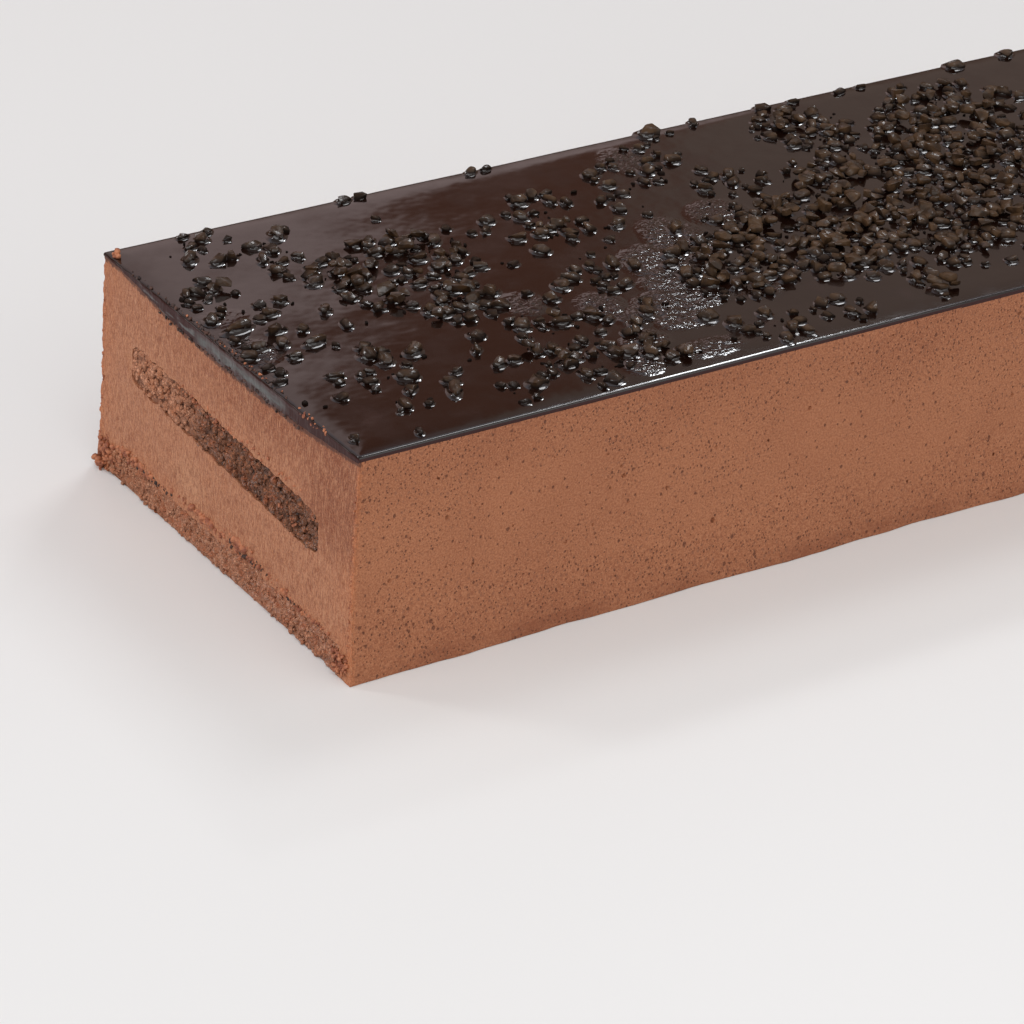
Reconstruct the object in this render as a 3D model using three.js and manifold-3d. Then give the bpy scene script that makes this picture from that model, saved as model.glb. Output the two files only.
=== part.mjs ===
// A chocolate log cake, cut square at both ends: a sponge base, a chocolate mousse with a
// strip of sponge running through it, and a dark mirror glaze scattered with cocoa nibs.
// Millimetres. X runs along the log, Y across it and Z up. The origin is under the middle
// of the cake, on the surface that it stands on.

import * as THREE from 'three';
import { mergeVertices } from 'three/addons/utils/BufferGeometryUtils.js';
import Module from 'manifold-3d';

const wasm = await Module();
wasm.setup();

// Driving dimensions
const mousseLength = 296;      // between the two cuts, at the top edge
const cutLean = 1;             // each cut stands out this much further at the bottom
const logWidth = 100;          // across the glazed top
const logHeight = 49;          // to the glaze, without the nibs
const clearance = 0.3;         // gap between neighbouring layers

const slump = { out: 1.1, height: 9, wave: 0.35, waveLength: 46 };
const base = { width: 93, height: 6.6, ridge: 1.7, ridgeAt: -12, ridgeWidth: 5 };
const insert = { width: 74.4, height: 9.2, middle: 0.3, centreHeight: 27.5, tilt: 3.05 };
const glaze = { edge: 1, middle: 4.1, deepestAt: -5, reach: 48, rim: 0.6, inset: 0.25 };
const nibs = {
  largest: 4.2, smallest: 2, densest: 0.2, crowd: 1.2, spacing: 0.37, count: 210,
  flatness: 0.44, slimness: 0.66, sunk: 0.26,
};

// The nibs that stand out: the place along from one cut and across from one long side, the
// length, the slimness and the turn in degrees.
const chosenNibs = [
  [6, 56, 6.4, 0.36, 8], [12.5, 52.3, 4.6, 0.5, 12], [16.5, 44.4, 5.2, 0.42, 14],
  [10, 41, 3.2, 0.8, 0], [4.4, 74, 3.2, 0.5, 70], [7, 74.4, 4.2, 0.5, -50], [13, 88, 4.6, 0.55, 50],
  [16, 93, 3.8, 0.55, 30], [17.5, 84.5, 4.2, 0.5, 25], [34.5, 90, 5.2, 0.6, 60], [26, 81, 4, 0.5, 60],
  [29, 78.5, 3.6, 0.5, 20], [17.5, 25, 3.4, 0.8, 0], [25, 23.6, 4.6, 0.7, -40], [9, 22, 3.2, 0.85, 0],
  [22.5, 18.5, 3.8, 0.55, 40], [29.6, 14, 5.4, 0.4, 62], [45.6, 9.6, 4.4, 0.75, 20],
  [2.8, 6.6, 2.9, 0.6, 60], [16, 11.6, 2.2, 0.6, 45], [15, 3.2, 2.8, 0.55, 65], [31.5, 32, 4.4, 0.65, 30],
  [12.5, 30, 4, 0.45, -25], [43.5, 19.6, 3.6, 0.6, 40], [34.5, 21, 3, 0.6, 20], [43, 27, 3.8, 0.45, 50],
  [92, 18, 4.6, 0.85, 0], [54, 46, 5.4, 0.5, 35], [110, 55, 4.8, 0.55, 55], [106, 47, 5, 0.5, 60],
  [124, 86, 3.6, 0.7, 10], [2, 33, 3.4, 0.6, 10], [3, 39, 3, 0.6, -10], [75, 16, 3.6, 0.6, 30],
  [17, 98.2, 3.2, 0.6, 20], [22.5, 97.8, 3.4, 0.6, 50], [55.5, 98.4, 4, 0.6, 20],
  [59.5, 98.6, 2.8, 0.7, 0], [87, 98.4, 3.4, 0.6, 30], [91, 98.6, 2.8, 0.6, 10], [132.6, 98, 5, 0.8, 0],
  [145, 98.4, 3.4, 0.6, 60], [163.6, 98.2, 3.6, 0.8, 0], [172, 98.2, 3, 0.7, 0], [185, 98, 3.4, 0.6, 20],
  [191, 98.2, 2.8, 0.7, 0], [218, 98, 4.8, 0.8, 0], [233, 98.2, 4.2, 0.8, 30],
];

// Where the rest of the nibs lie, as soft patches: the place along and across, the reach
// both ways, and the nibs on each square millimetre.
const nibPatches = [
  [17, 90, 13, 9, 0.035], [29, 78, 6, 14, 0.05], [8, 73, 8, 8, 0.07], [12, 61, 13, 6, 0.055],
  [8, 46, 8, 6, 0.055], [2, 36, 4, 6, 0.07], [14, 37, 6, 8, 0.03], [21, 30, 12, 7, 0.055],
  [25, 20, 12, 9, 0.03], [38, 62, 11, 17, 0.075], [55, 67, 16, 17, 0.085], [52, 46, 14, 8, 0.08],
  [44, 14, 8, 12, 0.025], [60, 20, 12, 22, 0.08], [77, 12, 7, 11, 0.08], [75, 74, 5, 7, 0.08],
  [88, 62, 13, 11, 0.07], [92, 78, 11, 8, 0.05], [82, 42, 13, 8, 0.06], [80, 27, 12, 8, 0.045],
  [100, 8, 10, 9, 0.06], [112, 35, 18, 17, 0.1], [135, 40, 27, 26, 0.12], [160, 42, 28, 32, 0.13],
  [190, 56, 30, 27, 0.12], [120, 84, 15, 10, 0.055], [127, 96, 12, 5, 0.05], [107, 72, 7, 9, 0.04],
  [135, 68, 11, 11, 0.06], [166, 84, 14, 13, 0.11], [202, 80, 20, 15, 0.12], [116, 9, 11, 7, 0.045],
  [143, 10, 5, 9, 0.07], [225, 42, 28, 34, 0.12], [252, 58, 26, 30, 0.1], [280, 40, 16, 34, 0.06],
  [262, 20, 14, 14, 0.07], [3, 50, 3, 46, 0.012], [40, 50, 40, 50, 0.008],
];

// The two ends of the mousse at a height above the surface that the log stands on.
function cutAt(z) {
  return mousseLength / 2 + cutLean * (1 - z / logHeight);
}

// A smooth, repeatable unevenness between -1 and 1, with one bump to each unit.
function uneven(u, v) {
  const corner = (i, j) => {
    const s = Math.sin(i * 127.1 + j * 311.7) * 43758.5453;
    return 2 * (s - Math.floor(s)) - 1;
  };
  const i = Math.floor(u);
  const j = Math.floor(v);
  const ease = (t) => t * t * (3 - 2 * t);
  const a = ease(u - i);
  const b = ease(v - j);
  const low = corner(i, j) * (1 - a) + corner(i + 1, j) * a;
  const high = corner(i, j + 1) * (1 - a) + corner(i + 1, j + 1) * a;
  return low * (1 - b) + high * b;
}

// Torn crumb: how far a sponge end stands out from its plane.
function crag(y, z, depth) {
  return depth * (0.65 * uneven(y / 2.6, z / 2.2) + 0.35 * uneven(y / 1.3 + 40, z / 1.1));
}

// A block in a grid, with each corner of the grid moved by a rule. u, v and w run from -1
// to 1 along X, Y and Z.
function warpedBlock(segments, rule) {
  const block = new THREE.BoxGeometry(2, 2, 2, ...segments);
  block.deleteAttribute('normal');
  block.deleteAttribute('uv');
  const solid = mergeVertices(block);
  const place = solid.attributes.position;
  for (let i = 0; i < place.count; i++) {
    place.setXYZ(i, ...rule(place.getX(i), place.getY(i), place.getZ(i)));
  }
  return solid;
}

// A section drawn in the YZ plane, given as [y, z] points, run along X from -1 to 1 in steps.
// Each corner is then moved by a rule that gets the place along and the section's point.
function runAlong(points, steps, rule) {
  const section = new THREE.Shape(points.map(([y, z]) => new THREE.Vector2(y, z)));
  const run = new THREE.ExtrudeGeometry(section, { depth: 2, steps, bevelEnabled: false });
  run.deleteAttribute('normal');
  run.deleteAttribute('uv');
  const solid = mergeVertices(run, 1e-3);
  const place = solid.attributes.position;
  for (let i = 0; i < place.count; i++) {
    place.setXYZ(i, ...rule(place.getZ(i) - 1, place.getX(i), place.getY(i)));
  }
  return solid;
}

// The points moved outwards by a distance; they run anticlockwise.
function grown(points, distance) {
  return points.map(([y, z], i) => {
    const [beforeY, beforeZ] = points.at(i - 1);
    const [afterY, afterZ] = points[(i + 1) % points.length];
    const along = new THREE.Vector2(afterY - beforeY, afterZ - beforeZ).normalize();
    return [y + along.y * distance, z - along.x * distance];
  });
}

// Evenly spread numbers from one value to another, both ends included.
function spread(from, to, count) {
  return Array.from({ length: count }, (_, i) => from + ((to - from) * i) / (count - 1));
}

function asManifold(geometry) {
  return new wasm.Manifold(new wasm.Mesh({
    numProp: 3,
    vertProperties: Float32Array.from(geometry.attributes.position.array),
    triVerts: Uint32Array.from(geometry.index.array),
  }));
}

function asGeometry(manifold) {
  const mesh = manifold.getMesh();
  const geometry = new THREE.BufferGeometry();
  geometry.setAttribute('position', new THREE.BufferAttribute(mesh.vertProperties, 3));
  geometry.setIndex(new THREE.BufferAttribute(mesh.triVerts, 1));
  return geometry;
}

function subMesh(name, geometry, color, roughness) {
  const finished = geometry.toNonIndexed();
  finished.computeVertexNormals();
  const material = new THREE.MeshStandardMaterial({ color, roughness, metalness: 0 });
  const mesh = new THREE.Mesh(finished, material);
  mesh.name = name;
  return mesh;
}

// Sponge base: flat below, ridged above and torn at both cuts

function baseTop(y) {
  const fromRidge = (y - base.ridgeAt) / base.ridgeWidth;
  return base.height + 0.5 * uneven(y / 4.2, 3) + base.ridge * Math.exp(-fromRidge * fromRidge);
}

function baseSponge() {
  const half = base.width / 2;
  return warpedBlock([2, 46, 3], (u, v, w) => {
    const y = v * half;
    const up = (w + 1) / 2;
    const z = up * baseTop(y);
    return [u * (cutAt(z) + crag(y, z, 0.45)), y, z];
  });
}

function baseNotch() {
  const half = base.width / 2;
  const along = spread(half, -half, 47);
  const top = along.map((y) => [y, baseTop(y)]);
  const [first, last] = [top[0], top.at(-1)];
  const outline = grown([[last[0], -4], [first[0], -4], ...top], clearance);
  return runAlong(outline, 1, (u, y, z) => [u * mousseLength, y, z]);
}

// Sponge strip: a lumpy, slightly tilted strip with blunt ends

function insertHalf(v) {
  return (insert.height / 2) * (1 - 0.3 * Math.abs(v) ** 26);
}

function insertMiddle(y) {
  return insert.centreHeight + Math.tan(THREE.MathUtils.degToRad(insert.tilt)) * (y - insert.middle);
}

function insertTop(v) {
  const y = insert.middle + (v * insert.width) / 2;
  return insertMiddle(y) + insertHalf(v) + 0.55 * uneven(y / 3.4, 11);
}

function insertBottom(v) {
  const y = insert.middle + (v * insert.width) / 2;
  return insertMiddle(y) - insertHalf(v) + 0.35 * uneven(y / 4, 27);
}

function insertSponge() {
  return warpedBlock([2, 38, 5], (u, v, w) => {
    const y = insert.middle + (v * insert.width) / 2;
    const up = (w + 1) / 2;
    const z = insertBottom(v) + up * (insertTop(v) - insertBottom(v));
    return [u * (cutAt(z) + crag(y + 200, z, 0.6)), y, z];
  });
}

function insertTunnel() {
  const across = spread(-1, 1, 39);
  const at = (v) => insert.middle + (v * insert.width) / 2;
  const below = across.map((v) => [at(v), insertBottom(v)]);
  const above = across.map((v) => [at(v), insertTop(v)]).reverse();
  const outline = grown([...below, ...above], clearance);
  return runAlong(outline, 1, (u, y, z) => [u * mousseLength, y, z]);
}

// Mousse: straight sides that slump a little at the foot, and a top that dips to the middle

function glazeThickness(y) {
  const fromDeepest = (y - glaze.deepestAt) / glaze.reach;
  return glaze.edge + (glaze.middle - glaze.edge) * Math.max(0, 1 - fromDeepest * fromDeepest);
}

function mousseTop(y) {
  return logHeight - glazeThickness(y) - clearance;
}

function slumpAt(x, z) {
  const rise = z / slump.height;
  const wave = 1 + slump.wave * uneven(x / slump.waveLength, 5);
  return slump.out * wave * Math.exp(-rise * rise);
}

function mousse() {
  const half = logWidth / 2;
  const heights = [0, 3, 6, 10, 16, 28];
  const top = spread(half, -half, 17).map((y) => [y, mousseTop(y)]);
  const rising = heights.map((z) => [half, z]);
  const falling = heights.map((z) => [-half, z]).reverse();
  const block = runAlong([...rising, ...top, ...falling], 24, (u, y, z) => {
    const x = u * cutAt(z);
    const out = Math.abs(y) > half - 0.01 ? Math.sign(y) * slumpAt(x, z) : 0;
    return [x, y + out, z];
  });
  return asGeometry(
    asManifold(block).subtract(asManifold(baseNotch())).subtract(asManifold(insertTunnel())),
  );
}

// Glaze: level above, thicker towards the middle, with a rounded rim along the log

function glazeLevel(x, y) {
  return 0.12 * uneven(x / 23, y / 19);
}

function glazeSheet() {
  const half = logWidth / 2;
  const under = spread(-half, half, 17).map((y) => [y, mousseTop(y) + clearance]);
  const bend = [0, 30, 60, 90].map(THREE.MathUtils.degToRad);
  const farRim = bend.map((a) => [
    half - glaze.rim * (1 - Math.cos(a)),
    logHeight - glaze.rim * (1 - Math.sin(a)),
  ]);
  const flat = spread(half - glaze.rim, glaze.rim - half, 9).slice(1, -1).map((y) => [y, logHeight]);
  const nearRim = farRim.map(([y, z]) => [-y, z]).reverse();
  return runAlong([...under, ...farRim, ...flat, ...nearRim], 24, (u, y, z) => {
    const x = u * (cutAt(logHeight) - glaze.inset);
    return [x, y, z > logHeight - 0.01 ? z + glazeLevel(x, y) : z];
  });
}

// Cocoa nibs: the chosen ones, and chopped grains strewn in the patches, the largest first

function randomFrom(seed) {
  let state = seed;
  return () => {
    state = (state * 1664525 + 1013904223) % 4294967296;
    return state / 4294967296;
  };
}

function nibDensity(along, across) {
  let density = 0;
  for (const [atAlong, atAcross, reachAlong, reachAcross, perArea] of nibPatches) {
    const away = Math.hypot((along - atAlong) / reachAlong, (across - atAcross) / reachAcross);
    density = Math.max(density, nibs.crowd * perArea * Math.min(1, 3 * (1 - away)));
  }
  return density;
}

function strewnNibs() {
  const random = randomFrom(7);
  const tries = Math.round(mousseLength * logWidth * nibs.densest);
  const strewn = [...chosenNibs];
  for (let i = 0; i < tries && strewn.length < nibs.count; i++) {
    const size = nibs.largest - (nibs.largest - nibs.smallest) * (i / tries);
    const along = 2 + (mousseLength - 4) * random();
    const across = 1.5 + (logWidth - 3) * random();
    const slim = nibs.slimness * (0.8 + 0.5 * random());
    const turn = 360 * random();
    const keep = random() * nibs.densest < nibDensity(along, across);
    const clear = ([a, b, s]) => Math.hypot(a - along, b - across) > nibs.spacing * (s + size);
    if (keep && strewn.every(clear)) {
      strewn.push([along, across, size, slim, turn]);
    }
  }
  return strewn;
}

function nibSolid([along, across, size, slim, turn], random) {
  const grain = new THREE.IcosahedronGeometry(0.5, 0);
  grain.deleteAttribute('normal');
  grain.deleteAttribute('uv');
  const solid = mergeVertices(grain, 1e-3);
  const height = size * nibs.flatness * (0.9 + 0.4 * random());
  const tiltX = 0.6 * (random() - 0.5);
  const tiltY = 0.4 * (random() - 0.5);
  const place = solid.attributes.position;
  for (let i = 0; i < place.count; i++) {
    const chip = 0.86 + 0.36 * random();
    place.setXYZ(i, place.getX(i) * chip, place.getY(i) * chip, place.getZ(i) * chip);
  }
  solid.scale(size, size * slim, height);
  solid.rotateX(tiltX);
  solid.rotateY(tiltY);
  solid.rotateZ(THREE.MathUtils.degToRad(turn));
  solid.translate(along - mousseLength / 2, across - logWidth / 2, logHeight + nibs.sunk * height);
  return solid;
}

function glazeWithNibs() {
  const random = randomFrom(21);
  const solids = strewnNibs().map((nib) => asManifold(nibSolid(nib, random)));
  return asGeometry(wasm.Manifold.union([asManifold(glazeSheet()), ...solids]));
}

const cake = new THREE.Group();
cake.add(
  subMesh('base_sponge', baseSponge(), 0x6b4433, 0.95),
  subMesh('insert_sponge', insertSponge(), 0x4a3026, 0.85),
  subMesh('mousse', mousse(), 0xa56f55, 0.75),
  subMesh('glaze', glazeWithNibs(), 0x2a1c18, 0.15),
);

export default cake;
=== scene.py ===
import bpy
import math
from mathutils import Euler, Matrix, Vector, noise


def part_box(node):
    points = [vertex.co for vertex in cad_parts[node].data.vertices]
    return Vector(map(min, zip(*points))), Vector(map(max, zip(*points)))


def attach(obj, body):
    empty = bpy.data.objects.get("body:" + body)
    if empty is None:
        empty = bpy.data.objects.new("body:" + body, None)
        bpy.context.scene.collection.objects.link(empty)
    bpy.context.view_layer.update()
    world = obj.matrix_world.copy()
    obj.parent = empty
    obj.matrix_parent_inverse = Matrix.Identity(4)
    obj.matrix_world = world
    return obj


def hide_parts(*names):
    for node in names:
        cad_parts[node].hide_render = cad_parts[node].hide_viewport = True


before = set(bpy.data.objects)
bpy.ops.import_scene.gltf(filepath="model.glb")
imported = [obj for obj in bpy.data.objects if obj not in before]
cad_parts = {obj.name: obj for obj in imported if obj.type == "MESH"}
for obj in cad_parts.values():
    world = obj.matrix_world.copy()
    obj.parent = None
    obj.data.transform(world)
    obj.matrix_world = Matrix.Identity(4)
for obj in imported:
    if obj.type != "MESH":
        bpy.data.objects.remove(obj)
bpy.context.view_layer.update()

mm = 0.001
hair = 0.01 * mm        # tolerance where vertices are picked by their place

# the whole log; the cut faces lean out a little towards the foot
log = {
    "halfLong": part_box("glaze")[1].x + 0.25 * mm,
    "halfWide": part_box("glaze")[1].y,
    "top": 49 * mm,
    "lean": 1 * mm,
    "nearFace": 0.3 * mm,        # vertices this close to an end or a side belong to it
    "past": 3 * mm,        # cutters reach this far past the cuts
}


def cutAt(z):
    return log["halfLong"] + log["lean"] * (1 - z / log["top"])


def onEnds(co):
    return 1.0 if abs(co.x) > log["halfLong"] - log["nearFace"] else 0


def onSides(co):
    return 1.0 if abs(co.y) > log["halfWide"] - log["nearFace"] else 0


def between(limits, share):
    return limits[0] + (limits[1] - limits[0]) * share


def wobble(along, size, row, layer=0):
    return noise.noise(Vector((along / size, row, layer)))


def strongest(patches, along, across, steepness):
    # the patch that counts most at a place; it fades out towards its edge
    most = 0
    for atAlong, atAcross, reachAlong, reachAcross, amount in patches:
        away = math.hypot((along - atAlong) / reachAlong, (across - atAcross) / reachAcross)
        most = max(most, amount * min(1, steepness * (1 - away)))
    return most


def randomFrom(seed):
    state = [seed]

    def draw():
        state[0] = (state[0] * 1664525 + 1013904223) % 4294967296
        return state[0] / 4294967296
    return draw


# helpers for meshes
def clearSelection():
    bpy.ops.object.select_all(action="DESELECT")


def makeActive(piece):
    clearSelection()
    piece.select_set(True)
    bpy.context.view_layer.objects.active = piece


def addBlock(name, low, high):
    clearSelection()
    low, high = Vector(low), Vector(high)
    bpy.ops.mesh.primitive_cube_add(size=1, location=(low + high) / 2, scale=high - low)
    block = bpy.context.object
    block.name = name
    block.data.name = name
    bpy.ops.object.transform_apply(location=True, rotation=True, scale=True)
    return block


def pickVertices(piece, wanted):
    makeActive(piece)
    bpy.ops.object.mode_set(mode="EDIT")
    bpy.ops.mesh.select_mode(type="VERT")
    bpy.ops.mesh.select_all(action="DESELECT")
    bpy.ops.object.mode_set(mode="OBJECT")
    for vertex in piece.data.vertices:
        vertex.select = wanted(vertex.co)
    bpy.ops.object.mode_set(mode="EDIT")


def pickEdges(piece, wanted):
    makeActive(piece)
    bpy.ops.object.mode_set(mode="EDIT")
    bpy.ops.mesh.select_mode(type="EDGE")
    bpy.ops.mesh.select_all(action="DESELECT")
    bpy.ops.object.mode_set(mode="OBJECT")
    places = [vertex.co for vertex in piece.data.vertices]
    for edge in piece.data.edges:
        start, end = places[edge.vertices[0]], places[edge.vertices[1]]
        edge.select = wanted(start, end)
    bpy.ops.object.mode_set(mode="EDIT")


def leaveEdit():
    bpy.ops.object.mode_set(mode="OBJECT")


def editAll():
    bpy.ops.object.mode_set(mode="EDIT")
    bpy.ops.mesh.select_all(action="SELECT")


def slicePiece(spot, normal, **settings):
    bpy.ops.mesh.select_all(action="SELECT")
    bpy.ops.mesh.bisect(plane_co=spot, plane_no=normal, **settings)


def runsAlong(axis, start, end):
    step = end - start
    return abs(step[axis]) > 0.97 * step.length


def splitEdges(piece, axis, cuts, where=None):
    pickEdges(piece, lambda a, b: runsAlong(axis, a, b) and (where is None or where(a, b)))
    bpy.ops.mesh.subdivide(number_cuts=cuts)
    leaveEdit()


def moveVertices(piece, rule):
    for vertex in piece.data.vertices:
        vertex.co = rule(vertex.co)
    piece.data.update()


def weigh(piece, name, weight):
    group = piece.vertex_groups.new(name=name)
    for vertex in piece.data.vertices:
        amount = weight(vertex.co)
        if amount > 0:
            group.add([vertex.index], amount, "REPLACE")


def roughen(piece, size, depth, group, direction="NORMAL", detail=2):
    texture = bpy.data.textures.new(f"{piece.name}Clouds", "CLOUDS")
    texture.noise_scale = size
    texture.noise_depth = detail
    displace = piece.modifiers.new("roughen", "DISPLACE")
    displace.texture = texture
    displace.texture_coords = "LOCAL"
    displace.direction = direction
    displace.strength = depth
    displace.vertex_group = group
    makeActive(piece)
    bpy.ops.object.modifier_apply(modifier=displace.name)


def carve(piece, cutter):
    cut = piece.modifiers.new("carve", "BOOLEAN")
    cut.operation = "DIFFERENCE"
    cut.solver = "MANIFOLD"
    cut.object = cutter
    makeActive(piece)
    bpy.ops.object.modifier_apply(modifier=cut.name)
    bpy.data.objects.remove(cutter, do_unlink=True)


def strew(name, models, places):
    copies = []
    for which, place in places:
        copy = models[which].copy()
        copy.data = models[which].data.copy()
        copy.matrix_world = place
        bpy.context.collection.objects.link(copy)
        copies.append(copy)
    clearSelection()
    for copy in copies:
        copy.select_set(True)
    bpy.context.view_layer.objects.active = copies[0]
    bpy.ops.object.join()
    bpy.ops.object.transform_apply(location=True, rotation=True, scale=True)
    joined = bpy.context.object
    joined.name = name
    joined.data.name = name
    for model in models:
        bpy.data.objects.remove(model, do_unlink=True)
    return joined


def shadeSmooth(piece, angle=None):
    makeActive(piece)
    if angle is None:
        bpy.ops.object.shade_smooth()
    else:
        bpy.ops.object.shade_smooth_by_angle(angle=math.radians(angle))


def finishPiece(piece, material, nodes=()):
    piece.data.materials.clear()
    piece.data.materials.append(material)
    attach(piece, "root")
    if nodes:
        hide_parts(*nodes)


# helpers for materials
def newMaterial(name):
    material = bpy.data.materials.new(name)
    material.use_nodes = True
    tree = material.node_tree
    tree.nodes.clear()
    surface = tree.nodes.new("ShaderNodeBsdfPrincipled")
    output = tree.nodes.new("ShaderNodeOutputMaterial")
    tree.links.new(surface.outputs["BSDF"], output.inputs["Surface"])
    return material, tree, surface


def setInput(tree, socket, value):
    if isinstance(value, bpy.types.NodeSocket):
        tree.links.new(value, socket)
    else:
        socket.default_value = value


def setInputs(tree, node, **inputs):
    for key, value in inputs.items():
        setInput(tree, node.inputs[key.replace("_", " ")], value)


def place(tree, kind, settings=None, **inputs):
    node = tree.nodes.new(kind)
    for key, value in (settings or {}).items():
        setattr(node, key, value)
    setInputs(tree, node, **inputs)
    return node


def calc(tree, operation, result, *others, clamp=False):
    for value in others or (0.0,):
        node = place(tree, "ShaderNodeMath", {"operation": operation, "use_clamp": clamp})
        setInput(tree, node.inputs[0], result)
        setInput(tree, node.inputs[1], value)
        result = node.outputs[0]
    return result


def times(tree, *values):
    return calc(tree, "MULTIPLY", *values)


def plus(tree, *values):
    return calc(tree, "ADD", *values)


def minus(tree, *values):
    return calc(tree, "SUBTRACT", *values)


def remap(tree, value, fromLow, fromHigh, toLow=0.0, toHigh=1.0, smooth=True):
    node = tree.nodes.new("ShaderNodeMapRange")
    node.interpolation_type = "SMOOTHSTEP" if smooth else "LINEAR"
    for socket, amount in zip(node.inputs, (value, fromLow, fromHigh, toLow, toHigh)):
        setInput(tree, socket, amount)
    return node.outputs["Result"]


def blendColors(tree, factor, first, second):
    node = place(tree, "ShaderNodeMix", {"data_type": "RGBA"}, Factor=factor)
    setInput(tree, node.inputs[6], first)
    setInput(tree, node.inputs[7], second)
    return node.outputs[2]


def blendValues(tree, factor, first, second):
    return remap(tree, factor, 0.0, 1.0, first, second, smooth=False)


def noiseValue(tree, where, size, detail=2.0, roughness=0.5, seed=0.0):
    shifted = place(tree, "ShaderNodeMapping", Vector=where, Location=(seed, seed * 0.7, 0.0)).outputs[0]
    node = place(tree, "ShaderNodeTexNoise", Vector=shifted, Scale=1 / size, Detail=detail,
                 Roughness=roughness)
    return node.outputs["Fac"]


def paintOver(tree, tone, colors, *layers):
    # each layer: a colour's name, its mask, and limits where the mask is remapped
    for name, mask, *limits in layers:
        if limits:
            mask = remap(tree, mask, *limits)
        tone = blendColors(tree, mask, tone, colors[name])
    return tone


def addBump(tree, surface, height, strength, distance, coated=False):
    bump = place(tree, "ShaderNodeBump", Height=height, Strength=strength, Distance=distance)
    tree.links.new(bump.outputs[0], surface.inputs["Normal"])
    if coated:
        tree.links.new(bump.outputs[0], surface.inputs["Coat Normal"])


def srgb(red, green, blue):
    def linear(value):
        value /= 255
        return value / 12.92 if value <= 0.04045 else ((value + 0.055) / 1.055) ** 2.4
    return (linear(red), linear(green), linear(blue), 1.0)


def newGroup(name, inputs, outputs):
    tree = bpy.data.node_groups.new(name, "ShaderNodeTree")
    for label, kind in inputs:
        tree.interface.new_socket(name=label, in_out="INPUT", socket_type=f"NodeSocket{kind}")
    for label, kind in outputs:
        tree.interface.new_socket(name=label, in_out="OUTPUT", socket_type=f"NodeSocket{kind}")
    return tree, tree.nodes.new("NodeGroupInput").outputs, tree.nodes.new("NodeGroupOutput").inputs


def useGroup(tree, group, **inputs):
    return place(tree, "ShaderNodeGroup", {"node_tree": group}, **inputs).outputs


def addVectors(tree, first, second, amount):
    scaled = place(tree, "ShaderNodeVectorMath", {"operation": "SCALE"}, Vector=second, Scale=amount)
    total = place(tree, "ShaderNodeVectorMath", Vector=first)
    setInput(tree, total.inputs[1], scaled.outputs[0])
    return total.outputs[0]


def makePoreGroup():
    # round holes of mixed sizes in the plane: mask 1 in a hole, 0 outside
    tree, given, out = newGroup(
        "pores",
        [("Where", "Vector"), ("Cell", "Float"), ("Reach", "Float"), ("Rarity", "Float")],
        [("Mask", "Float")],
    )
    scale = calc(tree, "DIVIDE", 1.0, given["Cell"])
    cells = place(tree, "ShaderNodeTexVoronoi", {"voronoi_dimensions": "2D"}, Vector=given["Where"],
                  Scale=scale)
    chance = place(tree, "ShaderNodeSeparateColor", Color=cells.outputs["Color"]).outputs[0]
    radius = times(tree, calc(tree, "POWER", chance, given["Rarity"]), given["Reach"])
    inner = times(tree, radius, 0.5)
    tree.links.new(remap(tree, cells.outputs["Distance"], radius, inner), out["Mask"])
    return tree


def makeCrumbGroup():
    # torn crumb: height of the grain, how deep a gap lies, and a tone that changes from lump to lump
    tree, given, out = newGroup(
        "crumb",
        [("Where", "Vector"), ("Grain", "Float")],
        [("Height", "Float"), ("Deep", "Float"), ("Tone", "Float")],
    )
    scale = calc(tree, "DIVIDE", 1.0, given["Grain"])
    drift = place(tree, "ShaderNodeTexNoise", Vector=given["Where"], Scale=scale, Detail=2.0).outputs["Color"]
    warped = addVectors(tree, given["Where"], drift, times(tree, given["Grain"], 1.1))
    edges = place(tree, "ShaderNodeTexVoronoi", {"feature": "DISTANCE_TO_EDGE"}, Vector=warped, Scale=scale)
    edge = edges.outputs["Distance"]
    cells = place(tree, "ShaderNodeTexVoronoi", Vector=warped, Scale=scale)
    chance = place(tree, "ShaderNodeSeparateColor", Color=cells.outputs["Color"]).outputs[0]
    fine = place(tree, "ShaderNodeTexNoise", Vector=given["Where"],
                 Scale=times(tree, scale, 2.4), Detail=4.0, Roughness=0.65).outputs["Fac"]
    coarse = place(tree, "ShaderNodeTexNoise", Vector=given["Where"],
                   Scale=times(tree, scale, 0.25), Detail=2.0).outputs["Fac"]
    crown = times(tree, remap(tree, edge, 0.0, 0.3), 0.75)
    tree.links.new(plus(tree, crown, times(tree, fine, 0.7)), out["Height"])
    # the depth of the gaps between lumps, which the sponges paint dark as painted shade
    gap = remap(tree, plus(tree, edge, times(tree, fine, 0.22)), 0.22, 0.1)
    tornAndShade = remap(tree, plus(tree, chance, coarse), 0.7, 1.1)
    tree.links.new(times(tree, gap, tornAndShade), out["Deep"])
    tone = plus(tree, times(tree, chance, 0.5), times(tree, coarse, 0.5))
    tree.links.new(tone, out["Tone"])
    return tree


poreGroup = makePoreGroup()
crumbGroup = makeCrumbGroup()


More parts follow.
